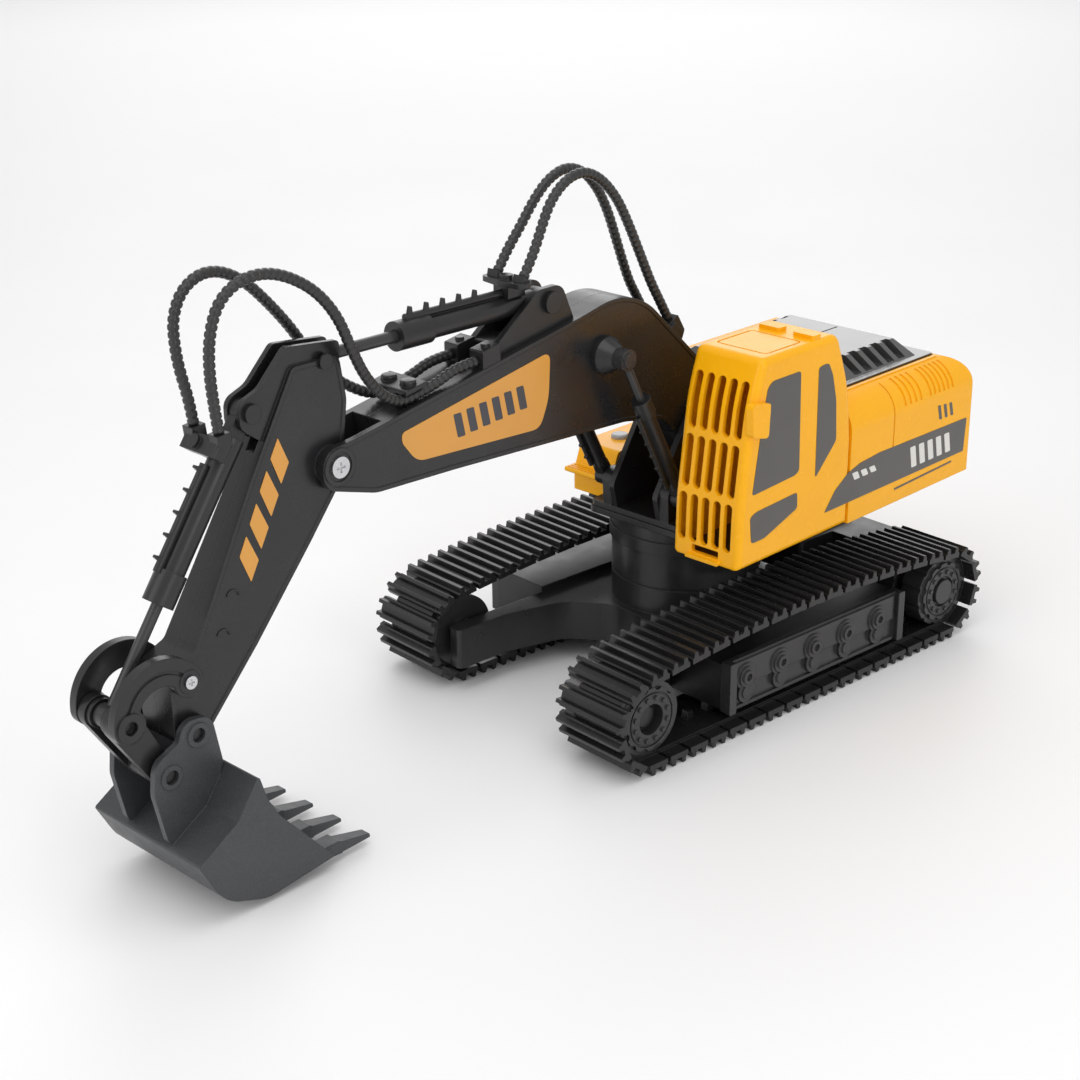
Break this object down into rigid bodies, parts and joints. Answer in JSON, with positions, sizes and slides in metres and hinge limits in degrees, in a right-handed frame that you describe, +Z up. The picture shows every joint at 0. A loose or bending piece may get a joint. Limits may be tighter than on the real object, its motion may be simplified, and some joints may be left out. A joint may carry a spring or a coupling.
{
  "type": "toy excavator",
  "caption": "Toy crawler excavator with a turning house, a jointed boom, stick and bucket, push-fit cylinders, ribbed hoses and rubber tracks.",
  "frame": {"origin": "middle of the whole toy at ground level, the hoses left out", "axes": "+X forward along the boom to the bucket, +Y to the cab side, +Z up; the undercarriage stands turned 4.1 degrees clockwise under the house"},
  "size_m": [0.323, 0.127, 0.1726],
  "materials": {
    "yellow_plastic": "glossy",
    "black_plastic": "semi-matte",
    "wheel_plastic": "semi-matte",
    "rod_plastic": "silvered",
    "cover_gloss": "glossy",
    "lens": "clear",
    "cell_wrap": "satin",
    "steel": "bright",
    "track_rubber": "matte",
    "hose_rubber": "satin"
  },
  "bodies": {
    "chassis": {"chassis_frame": "black_plastic", "chassis_cover": "black_plastic", "roller_cover_left": "black_plastic", "roller_cover_right": "black_plastic", "track_belt_left": "track_rubber", "track_belt_right": "track_rubber", "idler_axles": "black_plastic", "drive_gearbox": "black_plastic", "drive_motors": "steel", "slew_motor": "steel"},
    "idler_left": {"idler_left": "wheel_plastic"},
    "idler_right": {"idler_right": "wheel_plastic"},
    "sprocket_left": {"sprocket_left": "wheel_plastic"},
    "sprocket_right": {"sprocket_right": "wheel_plastic"},
    "house": {"turntable": "black_plastic", "slew_retainer": "black_plastic", "house_floor": "black_plastic", "boom_bracket": "black_plastic", "boom_foot_pin": "black_plastic", "cab_shell": "yellow_plastic", "engine_hood": "yellow_plastic", "engine_cover": "cover_gloss", "right_toolbox": "yellow_plastic", "work_light": "lens", "battery_cover": "black_plastic", "battery_pack": "cell_wrap"},
    "boom": {"boom_left_shell": "black_plastic", "boom_right_shell": "black_plastic", "boom_studs": "black_plastic", "stick_pivot_screws": "steel", "arm_cylinder_bracket": "black_plastic", "arm_cylinder_pin": "black_plastic", "hose_tee_clip": "black_plastic", "hose_box_clips": "black_plastic", "rear_hose_clip": "black_plastic", "arch_hose_left": "hose_rubber", "arch_hose_right": "hose_rubber"},
    "boom_barrels": {"boom_barrel_left": "black_plastic", "boom_barrel_right": "black_plastic"},
    "boom_rods": {"boom_rod_left": "rod_plastic", "boom_rod_right": "rod_plastic"},
    "arm_barrel": {"arm_barrel": "black_plastic", "arm_hose_clip": "black_plastic"},
    "arm_rod": {"arm_rod": "rod_plastic"},
    "stick": {"stick_left_shell": "black_plastic", "stick_right_shell": "black_plastic", "stick_pins": "black_plastic", "rocker_screws": "steel", "front_hose_left": "hose_rubber", "front_hose_right": "hose_rubber"},
    "bucket_barrel": {"bucket_barrel": "black_plastic", "bucket_hose_clip": "black_plastic"},
    "bucket_rod": {"bucket_rod": "rod_plastic"},
    "rocker": {"rocker_left": "black_plastic", "rocker_right": "black_plastic"},
    "link": {"bucket_link": "black_plastic"},
    "bucket": {"bucket": "black_plastic", "bucket_pins": "black_plastic"}
  },
  "joints": [
    {"name": "slew", "type": "hinge", "parent": "chassis", "child": "house", "pos_m": [-0.0707, 0, 0.045], "axis": [0, 0, 1], "continuous": true},
    {"name": "boom_lift", "type": "hinge", "parent": "house", "child": "boom", "pos_m": [-0.0707, 0, 0.082], "axis": [0, -1, 0], "range_deg": [-10, 30]},
    {"name": "boom_barrel_swing", "type": "hinge", "parent": "house", "child": "boom_barrels", "pos_m": [-0.0487, 0, 0.064], "axis": [0, -1, 0], "range_deg": [-8.81, 26.43]},
    {"name": "boom_rod_slide", "type": "slide", "parent": "boom_barrels", "child": "boom_rods", "axis": [0.4696, 0, 0.8829], "range_m": [-0.00475, 0.01423]},
    {"name": "stick_swing", "type": "hinge", "parent": "boom", "child": "stick", "pos_m": [0.0835, 0, 0.1079], "axis": [0, -1, 0], "range_deg": [-30, 25], "deforming": ["front_hose_left", "front_hose_right"]},
    {"name": "arm_barrel_swing", "type": "hinge", "parent": "boom", "child": "arm_barrel", "pos_m": [-0.0007, 0, 0.1355], "axis": [0, -1, 0], "range_deg": [-0.281, 0.234], "deforming": ["arch_hose_left", "arch_hose_right"]},
    {"name": "arm_rod_slide", "type": "slide", "parent": "arm_barrel", "child": "arm_rod", "axis": [0.9999, 0, 0.0118], "range_m": [-0.01243, 0.01491]},
    {"name": "bucket_curl", "type": "hinge", "parent": "stick", "child": "bucket", "pos_m": [0.1369, 0, 0.049], "axis": [0, -1, 0], "range_deg": [-35, 45]},
    {"name": "rocker_swing", "type": "hinge", "parent": "stick", "child": "rocker", "pos_m": [0.138, 0, 0.0646], "axis": [0, -1, 0], "range_deg": [-23.07, 29.66]},
    {"name": "link_swing", "type": "hinge", "parent": "rocker", "child": "link", "pos_m": [0.1568, 0, 0.0583], "axis": [0, -1, 0], "range_deg": [-17.88, 13.91]},
    {"name": "bucket_barrel_swing", "type": "hinge", "parent": "stick", "child": "bucket_barrel", "pos_m": [0.108, 0, 0.1278], "axis": [0, -1, 0], "range_deg": [-4.03, 5.18]},
    {"name": "bucket_rod_slide", "type": "slide", "parent": "bucket_barrel", "child": "bucket_rod", "axis": [0.5746, 0, -0.8184], "range_m": [-0.00658, 0.00512]},
    {"name": "sprocket_left_spin", "type": "hinge", "parent": "chassis", "child": "sprocket_left", "pos_m": [-0.13736, 0.04488, 0.0167], "axis": [0.0715, 0.9974, 0], "continuous": true},
    {"name": "idler_left_spin", "type": "hinge", "parent": "chassis", "child": "idler_left", "pos_m": [0.00168, 0.03491, 0.0167], "axis": [0.0715, 0.9974, 0], "continuous": true},
    {"name": "sprocket_right_spin", "type": "hinge", "parent": "chassis", "child": "sprocket_right", "pos_m": [-0.14308, -0.03491, 0.0167], "axis": [0.0715, 0.9974, 0], "continuous": true},
    {"name": "idler_right_spin", "type": "hinge", "parent": "chassis", "child": "idler_right", "pos_m": [-0.00404, -0.04488, 0.0167], "axis": [0.0715, 0.9974, 0], "continuous": true}
  ],
  "couplings": [
    {"joint": "boom_barrel_swing", "follows": "boom_lift", "ratio": 0.8553},
    {"joint": "boom_rod_slide", "follows": "boom_lift", "m_per_rad": 0.026376},
    {"joint": "arm_barrel_swing", "follows": "stick_swing", "ratio": 0.009091},
    {"joint": "arm_rod_slide", "follows": "stick_swing", "m_per_rad": -0.027636},
    {"joint": "rocker_swing", "follows": "bucket_curl", "ratio": 0.6398},
    {"joint": "link_swing", "follows": "bucket_curl", "ratio": -0.38575},
    {"joint": "bucket_barrel_swing", "follows": "bucket_curl", "ratio": 0.11186},
    {"joint": "bucket_rod_slide", "follows": "bucket_curl", "m_per_rad": -0.008117},
    {"joint": "idler_left_spin", "follows": "sprocket_left_spin", "ratio": 1},
    {"joint": "idler_right_spin", "follows": "sprocket_right_spin", "ratio": 1}
  ]
}
